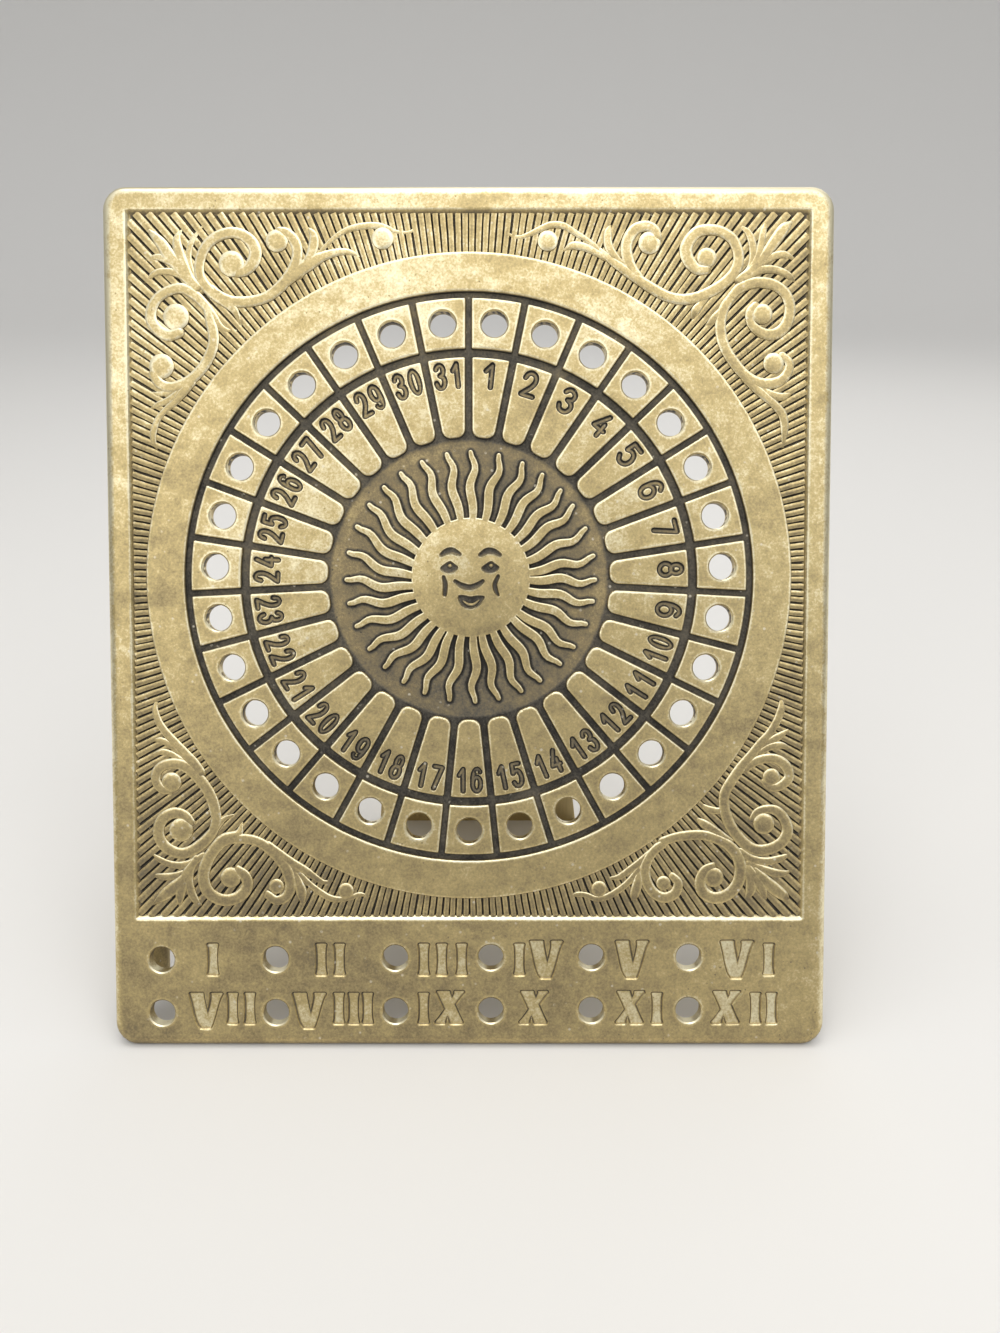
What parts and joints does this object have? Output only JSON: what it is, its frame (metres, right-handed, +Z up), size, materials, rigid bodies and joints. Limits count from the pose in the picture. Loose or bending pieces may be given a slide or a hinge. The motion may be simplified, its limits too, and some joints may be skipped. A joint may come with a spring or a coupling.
{
  "type": "perpetual desk calendar",
  "caption": "Upright brass desk calendar plate with a ring of day holes round a sun relief, month holes below, a folding rear strut and two marker pegs.",
  "frame": {"origin": "middle of the filed flat along the plate's lower edge, on the surface that the calendar stands on", "axes": "+Z up, +X to the right as seen from the front, +Y away from the viewer, towards the strut"},
  "size_m": [0.1112, 0.0668, 0.1232],
  "materials": {
    "cast_brass": "antique satin casting, dark in its recesses",
    "sheet_brass": "aged satin sheet",
    "turned_brass": "turned, lightly aged",
    "screw_brass": "satin, darkened slots"
  },
  "bodies": {
    "plate": {"face_plate": "cast_brass", "hinge_bracket": "sheet_brass", "hinge_pin": "turned_brass", "hinge_screw_1": "screw_brass", "hinge_screw_2": "screw_brass", "hinge_screw_3": "screw_brass", "hinge_screw_4": "screw_brass"},
    "strut": {"easel_strut": "sheet_brass"},
    "day_marker": {"day_peg": "turned_brass"},
    "month_marker": {"month_peg": "turned_brass"}
  },
  "joints": [
    {"name": "strut_hinge", "type": "hinge", "parent": "plate", "child": "strut", "pos_m": [0, 0.03828, 0.08392], "axis": [-1, 0, 0], "range_deg": [0, 40.2]},
    {"name": "day_peg_lift", "type": "slide", "parent": "plate", "child": "day_marker", "axis": [0, 0.3675, 0.93], "range_m": [0, 0.012]},
    {"name": "month_peg_lift", "type": "slide", "parent": "plate", "child": "month_marker", "axis": [0, 0.3675, 0.93], "range_m": [0, 0.012]}
  ]
}
